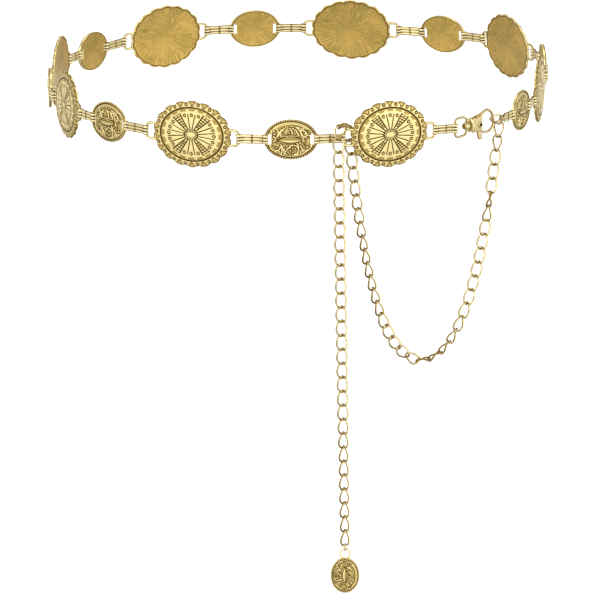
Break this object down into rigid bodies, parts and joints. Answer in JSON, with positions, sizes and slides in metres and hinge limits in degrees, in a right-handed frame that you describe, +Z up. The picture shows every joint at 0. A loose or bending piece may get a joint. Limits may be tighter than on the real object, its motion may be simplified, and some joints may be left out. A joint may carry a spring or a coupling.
{
  "type": "chain belt",
  "caption": "Fastened loop of oval medallions and strip links, closed by a snap hook, with a hanging chain swag, a chain tail and an oval charm.",
  "frame": {"origin": "centre of the loop that goes round the wearer's waist, level with the middles of the medallions", "axes": "+X to the wearer's left, +Y from the front to the back, +Z up along the wearer"},
  "size_m": [0.2586, 0.2969, 0.2506],
  "materials": {
    "medallion_gold": "antiqued pale gold plate, dark in the hollows, brushed on the back",
    "link_gold": "polished pale gold plate",
    "clasp_gold": "satin pale gold plate"
  },
  "bodies": {
    "belt": {"large_medallion_1": "medallion_gold", "large_medallion_2": "medallion_gold", "large_medallion_3": "medallion_gold", "large_medallion_4": "medallion_gold", "large_medallion_5": "medallion_gold", "large_medallion_6": "medallion_gold", "large_medallion_7": "medallion_gold", "large_medallion_8": "medallion_gold", "small_medallion_1": "medallion_gold", "small_medallion_2": "medallion_gold", "small_medallion_3": "medallion_gold", "small_medallion_4": "medallion_gold", "small_medallion_5": "medallion_gold", "small_medallion_6": "medallion_gold", "small_medallion_7": "medallion_gold", "small_medallion_8": "medallion_gold", "strip_link_1": "link_gold", "strip_link_2": "link_gold", "strip_link_3": "link_gold", "strip_link_4": "link_gold", "strip_link_5": "link_gold", "strip_link_6": "link_gold", "strip_link_7": "link_gold", "strip_link_8": "link_gold", "strip_link_9": "link_gold", "strip_link_10": "link_gold", "strip_link_11": "link_gold", "strip_link_12": "link_gold", "strip_link_13": "link_gold", "strip_link_14": "link_gold", "strip_link_15": "link_gold", "strip_link_16": "link_gold", "strip_link_17": "link_gold", "swivel_eye": "link_gold", "snap_hook": "clasp_gold", "chain_link_hooked": "link_gold", "chain_swag_1": "link_gold", "chain_swag_2": "link_gold", "chain_swag_3": "link_gold", "chain_swag_4": "link_gold", "chain_swag_5": "link_gold", "chain_swag_6": "link_gold", "chain_swag_7": "link_gold", "chain_swag_8": "link_gold", "chain_swag_9": "link_gold", "chain_swag_10": "link_gold", "chain_swag_11": "link_gold", "chain_swag_12": "link_gold", "chain_wrap_rear": "link_gold", "chain_wrap_over": "link_gold", "chain_wrap_front": "link_gold", "chain_tail_1": "link_gold", "chain_tail_2": "link_gold", "chain_tail_3": "link_gold", "chain_tail_4": "link_gold", "chain_tail_5": "link_gold", "chain_tail_6": "link_gold"},
    "lever": {"snap_lever": "clasp_gold"},
    "ring": {"charm_ring": "link_gold"},
    "charm": {"charm": "medallion_gold"}
  },
  "joints": [
    {"name": "snap_lever_turn", "type": "hinge", "parent": "belt", "child": "lever", "pos_m": [0.0911, -0.10123, -0.00153], "axis": [0.7802, -0.6255, 0], "range_deg": [0, 25], "stiffness_Nm_per_rad": 0.015, "springref_deg": -2.86},
    {"name": "charm_ring_swing", "type": "hinge", "parent": "belt", "child": "ring", "pos_m": [0.0243, -0.14948, -0.20793], "axis": [1, 0, 0], "range_deg": [-60, 60]},
    {"name": "charm_swing", "type": "hinge", "parent": "ring", "child": "charm", "pos_m": [0.0243, -0.14948, -0.21068], "axis": [0, 1, 0], "range_deg": [-45, 45]}
  ]
}
